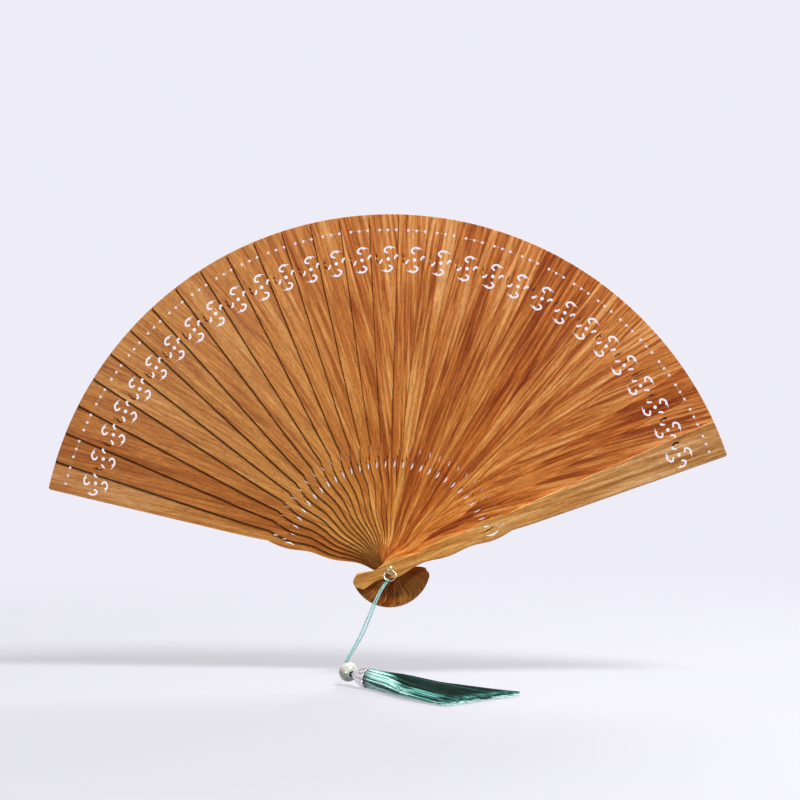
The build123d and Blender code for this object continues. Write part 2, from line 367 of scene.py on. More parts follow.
# %% [markdown]
# ## The two halves of the cord
#
# Rings 0.26 mm apart are close enough to follow the twist, which goes round once in 2.8 mm.

# %% Cord strands
STRAND_STEP = 0.26 * MM
STRAND_TWIST = 2.8 * MM
cord_pieces = {}
for side_name, route in (("left", LEFT_ROUTE), ("right", RIGHT_ROUTE)):
    line = evenly(smooth_line("cord_" + side_name, route), STRAND_STEP)
    strand = bmesh.new()
    add_tube(strand, line, two_ply(CORD_DIAMETER / 2), 12, STRAND_TWIST)
    cord_pieces[side_name] = mesh_piece("cord_" + side_name, strand)

# %% [markdown]
# ## Silk for the cord
#
# Twisted silk is a bundle of long smooth fibres, so it has a soft lustre along its plies and
# hardly any fuzz. The tube's own UV map runs in millimetres along the cord, and fine slanting
# lines drawn in it stand for the fibres in each ply, coloured from painted shade through the body
# colour to a painted shine. They repeat at 0.35 mm, coarser than real fibres, so that they show.

# %% Cord silk
FIBRE_REPEAT_MM = 0.35
FIBRES_ROUND = 3.0


def twisted_silk(name, shadow, body, shine):
    """Mulberry silk, doubled and twisted: its fibre lines carry a painted pale shine and painted
    shade over a teal body.
    """
    material, tree, shader = new_material(name)
    place = add_node(tree, "ShaderNodeUVMap", {}, {})
    slanted = add_node(tree, "ShaderNodeMapping", {}, {
        "Vector": place.outputs["UV"], "Scale": (FIBRES_ROUND, 1 / FIBRE_REPEAT_MM, 1.0),
        "Rotation": (0, 0, 0.5)})
    fibres = add_node(tree, "ShaderNodeTexNoise", {}, {
        "Vector": slanted.outputs["Vector"], "Scale": 1.0, "Detail": 3.0, "Roughness": 0.6})
    # The fibre lines run from painted shade through the body colour to a painted shine.
    colour = add_node(tree, "ShaderNodeValToRGB", {}, {"Fac": fibres.outputs["Fac"]},
                      stops=[(0.32, shadow), (0.5, body), (0.68, shine)])
    tree.links.new(colour.outputs["Color"], shader.inputs["Base Color"])
    bump = add_node(tree, "ShaderNodeBump", {}, {
        "Height": fibres.outputs["Fac"], "Strength": 0.35, "Distance": 0.05 * MM})
    tree.links.new(bump.outputs["Normal"], shader.inputs["Normal"])
    set_shader(shader, {"Roughness": 0.42, "Sheen Weight": 0.25, "Sheen Roughness": 0.4})
    return material


cord_silk = twisted_silk("teal_cord_silk", "#1f4848", "#5f9795", "#a5cfcb")
for piece in cord_pieces.values():
    finished(piece, "tassel", cord_silk)
print(cord_silk.name, "on", [piece.name for piece in cord_pieces.values()])

# %% [markdown]
# ## The hitch on the ring
#
# The doubled cord hangs from the ring by a lark's head: its loop goes behind the wire, and both
# halves pass down through the loop. Seen from the front that is two wraps side by side with a bar
# across them. It is one tube along a smooth line, laid out in the ring's own directions: along
# the wire, outward from the ring's middle, and forward.

# %% Hitch
RING_TILT = math.radians(28.0)
RING_RADIUS = 3.0 * MM
HITCH_ROUND_RING = math.radians(24.8)
HITCH_STEP = 0.14 * MM
HITCH_TWIST = 2.4 * MM  # tighter than in the hanging halves, because the loop is drawn up hard
ring_low, ring_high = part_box("hanging_ring")
wire_front = Vector((0, -math.cos(RING_TILT), math.sin(RING_TILT)))
ring_down = Vector((0, -math.sin(RING_TILT), -math.cos(RING_TILT)))
wire_out = (ring_down * math.cos(HITCH_ROUND_RING)
            - Vector((math.sin(HITCH_ROUND_RING), 0, 0))).normalized()
wire_along = wire_out.cross(wire_front).normalized()
if wire_along.x > 0:
    wire_along = -wire_along
hitch_centre = (ring_low + ring_high) / 2 + wire_out * RING_RADIUS
HALF_HITCH = [
    (0.12, 0.62, 0.80),
    (0.42, 0.50, 0.80),
    (0.50, -0.10, 0.72),
    (0.52, -0.66, 0.20),
    (0.54, -0.50, -0.52),
    (0.52, 0.20, -0.70),
    (0.48, 0.78, -0.20),
    (0.45, 1.20, 0.02),
    (0.45, 1.75, 0.00),
]


def at_ring(along, out, front):
    """A place near the hitch in millimetres, from its directions."""
    place = hitch_centre + (wire_along * along + wire_out * out + wire_front * front) * MM
    return tuple(c / MM for c in place)


hitch_route = [at_ring(-along, out, front) for along, out, front in reversed(HALF_HITCH)]
hitch_route += [at_ring(*place) for place in HALF_HITCH]
hitch_line = evenly(smooth_line("hitch", hitch_route), HITCH_STEP)
hitch_mesh = bmesh.new()
add_tube(hitch_mesh, hitch_line, two_ply(CORD_DIAMETER / 2), 12, HITCH_TWIST)
hitch = mesh_piece("cord_loop", hitch_mesh)
finished(hitch, "tassel", cord_silk)
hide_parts("cord_hitch")
print("hitch", len(hitch_line), "rings at", [round(c / MM, 2) for c in hitch_centre], "mm")

# %% [markdown]
# ## Shaping by hand, in code
#
# The bead and the cap are made with Blender's own tools, as a hand would with a mouse. In code,
# faces and edges are chosen by their place instead of by clicking. Each piece is shaped upright
# at the origin and then laid along its own direction, with its place kept in its mesh.

# %% Tools for shaping by hand
def edit(piece):
    """Selects only this piece and opens it in edit mode with nothing selected."""
    bpy.ops.object.select_all(action="DESELECT")
    piece.select_set(True)
    bpy.context.view_layer.objects.active = piece
    bpy.ops.object.mode_set(mode="EDIT")
    bpy.ops.mesh.select_all(action="DESELECT")


def choose(piece, kind, wanted):
    """In edit mode, selects just the vertices, edges or faces that wanted() accepts."""
    bpy.ops.mesh.select_mode(type={"verts": "VERT", "edges": "EDGE", "faces": "FACE"}[kind])
    bpy.ops.mesh.select_all(action="DESELECT")
    shape = bmesh.from_edit_mesh(piece.data)
    chosen = [element for element in getattr(shape, kind) if wanted(element)]
    for element in chosen:
        element.select_set(True)
    shape.select_flush_mode()
    bmesh.update_edit_mesh(piece.data)
    return len(chosen)


def place_piece(piece, origin, direction):
    """Moves a piece modelled along Z to its place, and applies that to its mesh."""
    bpy.ops.object.mode_set(mode="OBJECT")
    laid = direction.to_track_quat("Z", "Y").to_matrix().to_4x4()
    piece.matrix_world = Matrix.Translation(origin) @ laid
    bpy.ops.object.select_all(action="DESELECT")
    piece.select_set(True)
    bpy.context.view_layer.objects.active = piece
    bpy.ops.object.transform_apply(location=True, rotation=True, scale=True)


def use_modifier(piece, kind, name, **settings):
    """Adds a modifier with its settings and applies it."""
    modifier = piece.modifiers.new(name, kind)
    for key, value in settings.items():
        setattr(modifier, key, value)
    bpy.context.view_layer.objects.active = piece
    bpy.ops.object.modifier_apply(modifier=name)


print("shaping tools ready in", bpy.context.mode, "mode")

# %% [markdown]
# ## The bead
#
# The bead is a turned ball of pale jade with a wide bore whose edges are eased so that they don't
# cut the cord. A sphere is laid with its poles on the bore, its polar caps are cut away, and a
# bridge between the two openings makes the bore's wall. A bevel then eases both edges.

# %% Bead
BORE_RADIUS = 1.66 * MM
EASED_EDGE = 0.28 * MM
bpy.ops.mesh.primitive_uv_sphere_add(segments=72, ring_count=44, radius=bead_radius)
bead = bpy.context.object
bead.name = "jade_bead"


def on_bore_edge(edge):
    """True for an edge that runs round one of the bore's two openings."""
    one, other = (v.co for v in edge.verts)
    return (abs(one.z - other.z) < bead_radius
            and min(abs(one.z), abs(other.z)) > bead_radius * 0.93
            and max(one.xy.length, other.xy.length) < BORE_RADIUS)


edit(bead)
choose(bead, "faces", lambda face: all(v.co.xy.length < BORE_RADIUS for v in face.verts))
bpy.ops.mesh.delete(type="FACE")
bridged = choose(bead, "edges", lambda edge: edge.is_boundary)
bpy.ops.mesh.bridge_edge_loops()
eased = choose(bead, "edges", on_bore_edge)
bpy.ops.mesh.bevel(offset=EASED_EDGE, segments=4)
bpy.ops.mesh.select_all(action="SELECT")
bpy.ops.mesh.normals_make_consistent(inside=False)
choose(bead, "faces", lambda face: all(v.co.xy.length < BORE_RADIUS * 1.001 for v in face.verts))
place_piece(bead, bead_centre, bore_along)
bpy.ops.object.shade_smooth_by_angle(angle=math.radians(50))
print("bead", bridged, "edges bridged", eased, "eased", len(bead.data.polygons), "faces")

# %% [markdown]
# ## Jade
#
# Pale jade is translucent and waxy, with cloudy patches and a few denser flecks. Light that
# enters it comes out a little to the side, so the ball has soft shading and a small sharp
# highlight from its polish. The clouds are about 3 mm across. The drilled bore is never polished,
# and its faces, still selected from the last cell, get a dark matt colour: painted shade inside the
# hole.

# %% Bead material
CLOUD_MM = 3.0
BORE_SHADE_MM = 0.5


def polished_jade(name):
    """Nephrite, tumbled and polished: cloudy and translucent with a clear highlight."""
    material, tree, shader = new_material(name)
    place = add_node(tree, "ShaderNodeTexCoord", {}, {})
    clouds = add_node(tree, "ShaderNodeTexNoise", {}, {
        "Vector": place.outputs["Object"], "Scale": 1000 / CLOUD_MM, "Detail": 4.0,
        "Roughness": 0.6, "Distortion": 0.6})
    colour = add_node(tree, "ShaderNodeValToRGB", {}, {"Fac": clouds.outputs["Fac"]},
                      stops=[(0.34, "#9fa397"), (0.5, "#b3b6aa"), (0.68, "#cbcec3")])
    tree.links.new(colour.outputs["Color"], shader.inputs["Base Color"])
    set_shader(shader, {
        "Roughness": 0.2, "IOR": 1.61, "Subsurface Weight": 0.35, "Subsurface Scale": 1.2 * MM,
        "Subsurface Radius": (1.0, 1.0, 0.8), "Coat Weight": 0.4, "Coat Roughness": 0.05})
    return material


def painted_shade_bore(name):
    """The same stone inside the drilled bore: never polished, and painted dark for the shade in it.
    """
    material, tree, shader = new_material(name)
    place = add_node(tree, "ShaderNodeTexCoord", {}, {})
    bore_shade = add_node(tree, "ShaderNodeTexNoise", {}, {
        "Vector": place.outputs["Object"], "Scale": 1000 / BORE_SHADE_MM})
    # Painted shade: the bore's faces are coloured near black, for the shade inside the hole.
    colour = add_node(tree, "ShaderNodeValToRGB", {}, {"Fac": bore_shade.outputs["Fac"]},
                      stops=[(0.3, "#16130f"), (0.7, "#3a362f")])
    tree.links.new(colour.outputs["Color"], shader.inputs["Base Color"])
    set_shader(shader, {"Roughness": 0.9})
    return material


finished(bead, "tassel", polished_jade("pale_jade"))
# The bore's faces get the painted shade.
bead.data.materials.append(painted_shade_bore("drilled_bore"))
for polygon in bead.data.polygons:
    polygon.material_index = 1 if polygon.select else 0
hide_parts("bead")
print("bore faces", sum(polygon.material_index for polygon in bead.data.polygons))

# %% [markdown]
# ## The fluted cap
#
# The cap is pressed from thin silver-coloured sheet: a bell of petals side by side, with a
# scalloped rim. A ring of vertices is extruded along the axis and scaled at each step to the
# bell's profile. Then the columns between the petals are scaled inward, the rim is drawn back
# there, and a solidify modifier gives the sheet its thickness before a subdivision rounds it.

# %% Cap
PETALS = 9
PETAL_STEPS = 8
columns = PETALS * PETAL_STEPS
# The bell's profile: distance along the axis and radius, in millimetres.
BELL = [(0.7, 1.05), (0.8, 1.45), (1.2, 1.65), (1.6, 1.75), (2.3, 2.25), (3.5, 3.05), (5.0, 3.85),
        (6.8, 4.5), (8.5, 4.85), (9.7, 4.98), (10.3, 4.95)]
# Steps from a petal's middle, how far that column is scaled, and how far its rim is drawn back.
FLUTES = [(4, 0.78, 0.65), (3, 0.92, 0.3), (2, 0.98, 0.1), (0, 1.03, 0.0)]
NECK_END_MM = 1.6
RIM_START_MM = 10.2
SHEET = 0.3 * MM


def column_of(vertex):
    """How far a vertex is from the middle of its petal, 0 to 4 steps."""
    around = math.atan2(vertex.co.y, vertex.co.x)
    step = round(around / (2 * math.pi / columns)) % PETAL_STEPS
    return min(step, PETAL_STEPS - step)


bpy.ops.mesh.primitive_circle_add(vertices=columns, radius=BELL[0][1] * MM, location=(0, 0, 0))
cap = bpy.context.object
cap.name = "fluted_cap"
edit(cap)
bpy.ops.mesh.select_mode(type="VERT")
bpy.ops.mesh.select_all(action="SELECT")
bpy.ops.transform.translate(value=(0, 0, BELL[0][0] * MM))
for (before, width), (after, following) in zip(BELL, BELL[1:]):
    bpy.ops.mesh.extrude_region_move(
        TRANSFORM_OT_translate={"value": (0, 0, (after - before) * MM)})
    bpy.ops.transform.resize(value=(following / width, following / width, 1),
                             center_override=(0, 0, after * MM))
for steps, inward, drawn_back in FLUTES:
    choose(cap, "verts", lambda v: column_of(v) == steps and v.co.z > NECK_END_MM * MM)
    bpy.ops.transform.resize(value=(inward, inward, 1), center_override=(0, 0, 0))
    choose(cap, "verts", lambda v: column_of(v) == steps and v.co.z > RIM_START_MM * MM)
    bpy.ops.transform.translate(value=(0, 0, -drawn_back * MM))
place_piece(cap, cap_start, cap_along)
use_modifier(cap, "SOLIDIFY", "sheet", thickness=SHEET, offset=-1.0)
use_modifier(cap, "SUBSURF", "rounding", levels=1, render_levels=1)
edit(cap)
bpy.ops.mesh.select_all(action="SELECT")
bpy.ops.mesh.normals_make_consistent(inside=False)
bpy.ops.object.mode_set(mode="OBJECT")
bpy.ops.object.shade_smooth_by_angle(angle=math.radians(60))
print("cap", PETALS, "petals", len(cap.data.polygons), "faces")

# %% [markdown]
# ## Metals
#
# Three metals are polished and handled: the cap's silver plate, the ring's pale wire and the
# brass of the rivet and washers. A metal shows mostly what stands round it, so its own colour
# and its roughness do the work. Skin and air dull it in clouds of a millimetre or two, and the
# same cloud pattern darkens the colour a little and roughens the polish.

# %% Metals
DULL_CLOUD_MM = 1.6


def handled_metal(name, tones, roughness):
    """Plate, wire or turned brass, polished: bright, with faint clouds where it has dulled."""
    material, tree, shader = new_material(name)
    place = add_node(tree, "ShaderNodeTexCoord", {}, {})
    dulling = add_node(tree, "ShaderNodeTexNoise", {}, {
        "Vector": place.outputs["Object"], "Scale": 1000 / DULL_CLOUD_MM, "Detail": 3.0})
    colour = add_node(tree, "ShaderNodeValToRGB", {}, {"Fac": dulling.outputs["Fac"]}, stops=tones)
    tree.links.new(colour.outputs["Color"], shader.inputs["Base Color"])
    rough = add_node(tree, "ShaderNodeMapRange", {}, {
        "Value": dulling.outputs["Fac"], "To Min": roughness - 0.06, "To Max": roughness + 0.1})
    tree.links.new(rough.outputs["Result"], shader.inputs["Roughness"])
    set_shader(shader, {"Metallic": 1.0})
    return material


cap_silver = handled_metal("pressed_silver", [(0.35, "#c9c4c8"), (0.6, "#f0ecee")], 0.26)
ring_wire = handled_metal("pale_ring_wire", [(0.35, "#9c8f82"), (0.65, "#c6bbae")], 0.22)
brass = handled_metal("turned_brass", [(0.35, "#a98a4e"), (0.65, "#d9bd83")], 0.2)
finished(cap, "tassel", cap_silver)
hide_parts("tassel_cap")
dress("hanging_ring", ring_wire)
for node in ("rivet_pin", "front_washer", "back_washer"):
    dress(node, brass)
print("metals", cap_silver.name, ring_wire.name, brass.name)

# %% [markdown]
# ## Knot and binding
#
# Inside the cap a knot stops the cord, and behind the cap's rim the silk is wound tight with
# thread painted dark green, as shade under the rim. The knot is a trefoil, the simplest closed
# knot, traced by sines and cosines round the cap's axis. The binding is a helix of three turns,
# close enough to touch each other.

# %% Knot and binding
KNOT_STEPS = 120
KNOT_SIZE = 0.36 * MM
KNOT_DEPTH = 4.4 * MM
WINDS = 3
WIND_STEPS = 72 * WINDS
WIND_RADIUS = 4.62 * MM
WIND_START = 10.15 * MM
WIND_WIDTH = 1.0 * MM


def cap_place(distance, around, radius):
    """A point round the cap's axis, in metres."""
    centre = cap_start + cap_along * distance
    return centre + (cap_across * math.cos(around) + cap_up * math.sin(around)) * radius


cap_across = cap_along.cross(UP).normalized()
cap_up = cap_across.cross(cap_along).normalized()
knot_centre = cap_start + cap_along * KNOT_DEPTH
knot_line = []
for step in range(KNOT_STEPS + 1):
    t = 2 * math.pi * step / KNOT_STEPS
    across = math.sin(t) + 2 * math.sin(2 * t)
    rise = math.cos(t) - 2 * math.cos(2 * t)
    knot_line.append(knot_centre + (cap_across * across + cap_up * rise
                                    - cap_along * math.sin(3 * t)) * KNOT_SIZE)
knot_mesh = bmesh.new()
add_tube(knot_mesh, knot_line, two_ply(CORD_DIAMETER / 2), 10, STRAND_TWIST)
knot = finished(mesh_piece("cord_knot", knot_mesh), "tassel", cord_silk)
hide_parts("stopper_knot")

winding_line = []
for step in range(WIND_STEPS + 1):
    share = step / WIND_STEPS
    winding_line.append(cap_place(WIND_START + WIND_WIDTH * share, 2 * math.pi * WINDS * share,
                                  WIND_RADIUS))
winding_mesh = bmesh.new()
add_tube(winding_mesh, winding_line, two_ply(0.22 * MM), 8, 1.5 * MM)
# The binding's dark colours are painted shade, the shade under the cap's rim.
binding = finished(mesh_piece("binding_thread", winding_mesh), "tassel",
                   twisted_silk("dark_binding_silk", "#0c2421", "#17403a", "#2f625a"))
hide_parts("tassel_binding")
print("knot", len(knot_line), "binding", WINDS, "turns")

# %% [markdown]
# ## The skirt's shape
#
# The skirt leaves the binding as a round bundle, lies down on the table under its own weight, and
# spreads to a wide flat end. Four sections across it say where the bundle is, which way it heads,
# and how wide and high it is, and a smooth curve joins them. Where it lies down, its underside
# is squared off, because the table presses it flat.

# %% Skirt sections
# Each section: right, forward, turn in degrees, half width and half height, in millimetres.
SKIRT_SECTIONS = [
    (13.9, 12.9, 46, 11.0, 4.3),
    (28.6, 27.4, 45, 18.6, 2.9),
    (55.8, 49.6, 37, 30.5, 1.5),
]
BUNDLE_RADIUS = 4.75 * MM
SETTLED_SHARE = 0.22
skirt_start = cap_start + cap_along * (CAP_LENGTH + 0.9 * MM)
stations = [(skirt_start, cap_along, cap_across, cap_up, BUNDLE_RADIUS, BUNDLE_RADIUS)]
for right, forward, turn, half_width, half_height in SKIRT_SECTIONS:
    heading = pointing(turn, 0.0)
    centre = Vector((skirt_start.x + right * MM, skirt_start.y - forward * MM,
                     table_z + (half_height + 0.15) * MM))
    stations.append((centre, heading, heading.cross(UP), UP, half_width * MM, half_height * MM))
reaches = [0.0]
for before, after in zip(stations, stations[1:]):
    reaches.append(reaches[-1] + (after[0] - before[0]).length)


def in_bundle(share, around, depth):
    """A place in the bundle: share of its length, angle round it, and depth, 1 at its outside."""
    reach = min(share, 1.0) * reaches[-1]
    index = max(i for i in range(len(reaches) - 1) if reaches[i] <= reach + 1e-12)
    run = reaches[index + 1] - reaches[index]
    part = (reach - reaches[index]) / run
    start, end = stations[index], stations[index + 1]
    curve = (2 * part ** 3 - 3 * part ** 2 + 1, part ** 3 - 2 * part ** 2 + part,
             3 * part ** 2 - 2 * part ** 3, part ** 3 - part ** 2)
    centre = (start[0] * curve[0] + start[1] * run * curve[1]
              + end[0] * curve[2] + end[1] * run * curve[3])
    side = start[2].lerp(end[2], part).normalized()
    up = start[3].lerp(end[3], part).normalized()
    width = start[4] + (end[4] - start[4]) * part
    height = start[5] + (end[5] - start[5]) * part
    settled = min(share / SETTLED_SHARE, 1.0)
    across, rise = math.cos(around), math.sin(around)
    if rise < 0:
        power = 1.0 - 0.55 * settled
        across = math.copysign(abs(across) ** power, across)
        rise = -abs(rise) ** power
    place = centre + side * across * width * depth + up * rise * height * depth
    place += end[1] * max(share - 1.0, 0.0) * reaches[-1]
    place.z = max(place.z, table_z + 0.3 * MM)
    return place


print("skirt", round(reaches[-1] / MM, 1), "mm long")

# %% [markdown]
# ## The skirt's strands
#
# A smooth cone with a silk pattern would look like plastic, so the skirt is 2,200 separate
# strands, each a three-sided tube with few faces. Every strand keeps its own angle and depth in
# the bundle, drifts and waves a little, and ends at its own length, which frays the edge. Each
# also carries a tone with painted light in it: painted sheen, pale along the side that faces the
# lamp, painted shade, dark behind, and a painted glint, with a lighter tip and a difference of
# its own. Neighbours share part of that difference, so they look like locks. Seen between the
# strands, a dark core, painted for the shade deep in the bundle, keeps light from coming through.

# %% Skirt strands
STRANDS = 2200
STRAND_RINGS = 14
STRAND_RADIUS = 0.2 * MM
TIP_RADIUS = 0.08 * MM
STRAND_CORNERS = (math.pi / 2, math.pi * 7 / 6, math.pi * 11 / 6)
dice = random.Random(28)


def strand_ring(line, index, radius):
    """Three corners round a point of a strand."""
    forward = line[min(index + 1, len(line) - 1)] - line[max(index - 1, 0)]
    side = forward.cross(UP).normalized()
    up = side.cross(forward).normalized()
    return [line[index] + (side * math.cos(a) + up * math.sin(a)) * radius for a in STRAND_CORNERS]


def smooth_step(low, high, value):
    """0 below low, 1 above high, smooth between."""
    part = min(max((value - low) / (high - low), 0.0), 1.0)
    return part * part * (3 - 2 * part)


def sheen_and_dye_tone(angle, share, along, own):
    """How light a strand is painted, 0 deep green to 1 pale mint: painted sheen, painted shade and
    a painted glint, a lighter tip and its own difference.
    """
    turned = (math.degrees(angle) + 180) % 360 - 180
    # Painted sheen and shade: strands on the side that faces the lamp are painted pale, the rest
    # dark; edge is where the painted sheen ends.
    edge = 82 - 85 * smooth_step(0.0, 0.8, share)
    painted_sheen = smooth_step(edge + 26, edge - 12, turned) * smooth_step(-200, -150, turned)
    # A painted glint: a pale streak painted at one angle round the bundle, towards its end.
    painted_glint = 0.45 * math.exp(-((turned - 38) / 14) ** 2) * smooth_step(0.5, 0.62, share) * (
        1 - smooth_step(0.86, 0.97, share))
    tip = 0.3 * smooth_step(0.93, 1.0, along)
    return min(max(0.08 + 0.76 * painted_sheen + painted_glint + tip + own * (0.55 + 0.75 * painted_sheen), 0.0), 1.0)


corners, faces, tones = [], [], []
for _ in range(STRANDS):
    around = dice.uniform(-math.pi, math.pi)
    depth = dice.random() ** 0.3
    near = math.cos(around) * depth
    slant = (0.06 if near > 0.3 else 0.012) * (near - 0.3) ** 2
    length = 1.045 - slant - 0.08 * dice.random() ** 1.5
    drift = dice.uniform(-0.10, 0.10)
    own = dice.gauss(0, 0.15)
    for size, locks, shift in ((0.12, 17, 0), (0.16, 37, 2), (0.14, 61, 1)):
        own += size * math.sin(locks * around + shift)
    wave, phase = dice.uniform(0.1, 0.35) * MM, dice.uniform(0, 6.28)
    line, light = [], []
    for step in range(STRAND_RINGS):
        share = length * step / (STRAND_RINGS - 1)
        angle = around + drift * share
        place = in_bundle(share, angle, min(depth * (1 + 0.03 * math.sin(phase + 5 * share)), 1.0))
        swing = Vector((math.sin(phase + 9 * share), math.cos(phase + 8 * share), 0))
        place += swing * wave * share
        line.append(place)
        light.append(sheen_and_dye_tone(angle, share, step / (STRAND_RINGS - 1), own))
    first = len(corners)
    for index in range(STRAND_RINGS):
        radius = STRAND_RADIUS if index < STRAND_RINGS - 1 else TIP_RADIUS
        corners.extend(strand_ring(line, index, radius))
        tones.extend([light[index]] * 3)
    for index in range(STRAND_RINGS - 1):
        for corner in range(3):
            a, b = first + 3 * index + corner, first + 3 * index + (corner + 1) % 3
            faces.append((a, b, b + 3, a + 3))
    faces.append((first + 2, first + 1, first))
    last = first + 3 * (STRAND_RINGS - 1)
    faces.append((last, last + 1, last + 2))
strand_data = bpy.data.meshes.new("skirt_strands")
strand_data.from_pydata(corners, [], faces)
tone = strand_data.attributes.new("tone", "FLOAT", "POINT")
tone.data.foreach_set("value", tones)
strand_data.polygons.foreach_set("use_smooth", [True] * len(strand_data.polygons))
skirt = bpy.data.objects.new("skirt_strands", strand_data)
bpy.context.scene.collection.objects.link(skirt)
print("strands", STRANDS, "triangles", sum(len(face) - 2 for face in faces))

# %% [markdown]
# ## The skirt's core
#
# The core is one closed tube a little inside the outermost strands and shorter than they are. It
# is skinned ring by ring as the cord is, through the same places in the bundle. Its dark colour
# is painted shade, the shade deep in the bundle.

# %% Skirt core
CORE_SIDES = 32
CORE_STEPS = 24
CORE_LENGTH = 0.96
CORE_DEPTH = 0.86
core_mesh = bmesh.new()
core_rings = []
for step in range(CORE_STEPS + 1):
    share = CORE_LENGTH * step / CORE_STEPS
    places = [in_bundle(share, 2 * math.pi * c / CORE_SIDES, CORE_DEPTH) for c in range(CORE_SIDES)]
    core_rings.append([core_mesh.verts.new(place) for place in places])
skin(core_mesh, core_rings, range(len(core_rings)))
bmesh.ops.recalc_face_normals(core_mesh, faces=core_mesh.faces)
core = mesh_piece("skirt_core", core_mesh)
print("core", len(core.data.polygons), "faces")

# %% [markdown]
# ## Skirt silk
#
# Untwisted silk floss is glossier than cord, because its fibres all lie one way. That sheen is
# painted into the colour: the side that faces the light is painted pale mint, and the rest is
# painted deep green as shade. Each strand carries that as a tone from 0 to 1 along its length,
# and a ramp turns the tone to colour.

# %% Skirt silk
# The ramp from near black to pale mint turns the painted sheen, shade and glint into colour.
FLOSS_SHEEN_AND_DYE = [(0.0, "#020d0a"), (0.2, "#07241e"), (0.36, "#1a564b"),
               (0.5, "#569c92"), (0.68, "#90ccc4"), (0.9, "#cdf2ec")]
CORE_STREAK_MM = 1.5  # far coarser than a fibre, so that it shows between the strands


def floss(name):
    """Silk floss, combed straight: painted pale sheen where it faces the light, painted deep green
    shade elsewhere.
    """
    material, tree, shader = new_material(name)
    sheen_and_dye_of = add_node(tree, "ShaderNodeAttribute", {"attribute_name": "tone"}, {})
    colour = add_node(tree, "ShaderNodeValToRGB", {}, {"Fac": sheen_and_dye_of.outputs["Fac"]},
                      stops=FLOSS_SHEEN_AND_DYE)
    tree.links.new(colour.outputs["Color"], shader.inputs["Base Color"])
    set_shader(shader, {"Roughness": 0.36, "Specular IOR Level": 0.1,
                        "Sheen Weight": 0.02, "Sheen Roughness": 0.3})
    return material


def painted_shade_core(name):
    """The same floss deep in the bundle, painted dark for the shade there, with faint streaks."""
    material, tree, shader = new_material(name)
    place = add_node(tree, "ShaderNodeTexCoord", {}, {})
    streaks = add_node(tree, "ShaderNodeTexNoise", {}, {
        "Vector": place.outputs["Object"], "Scale": 1000 / CORE_STREAK_MM})
    # Dark colours painted for the shade deep in the bundle.
    colour = add_node(tree, "ShaderNodeValToRGB", {}, {"Fac": streaks.outputs["Fac"]},
                      stops=[(0.3, "#0b1f1c"), (0.7, "#1a3d37")])
    tree.links.new(colour.outputs["Color"], shader.inputs["Base Color"])
    set_shader(shader, {"Roughness": 0.6})
    return material


finished(skirt, "tassel", floss("combed_floss"))
finished(core, "tassel", painted_shade_core("floss_core"))
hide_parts("tassel_skirt")
print("silk on", skirt.name, "and", core.name)

# %% [markdown]
# ## Wood
#
# The blades are sawn from ribbon-striped hardwood. Its interlocked grain leaves golden and
# red-brown bands 1 to 3 mm wide that run nearly along each blade, with a finer grain in them. The
# pattern is drawn in the blade's own directions: a Mapping node turns Object coordinates by the
# blade's angle, and a second one scales them to the bands' real size. Each blade is another piece
# of wood, so each gets its own material, with the pattern moved on and its tone a little changed.
# The fine grain and the pores are drawn about three times as coarse as real ones, so that they
# show from this distance.

# %% Wood material
# Each layer of the figure: how long, deep and wide its streaks are in millimetres, then the
# noise's detail and distortion.
WOOD_LAYERS = {
    "bands": ((42.0, 20.0, 1.5), 3.0, 0.3),
    "broad": ((80.0, 20.0, 8.0), 1.0, 0.2),
    "grain": ((8.0, 4.0, 0.5), 3.0, 0.1),
    "pores": ((2.4, 1.0, 0.34), 2.0, 0.0),
}
BAND_STOPS = (0.06, 0.42, 0.68, 0.97)
HANDLED_TINT = [(0.0, "#fff8d0"), (1.0, "#ffffff")]


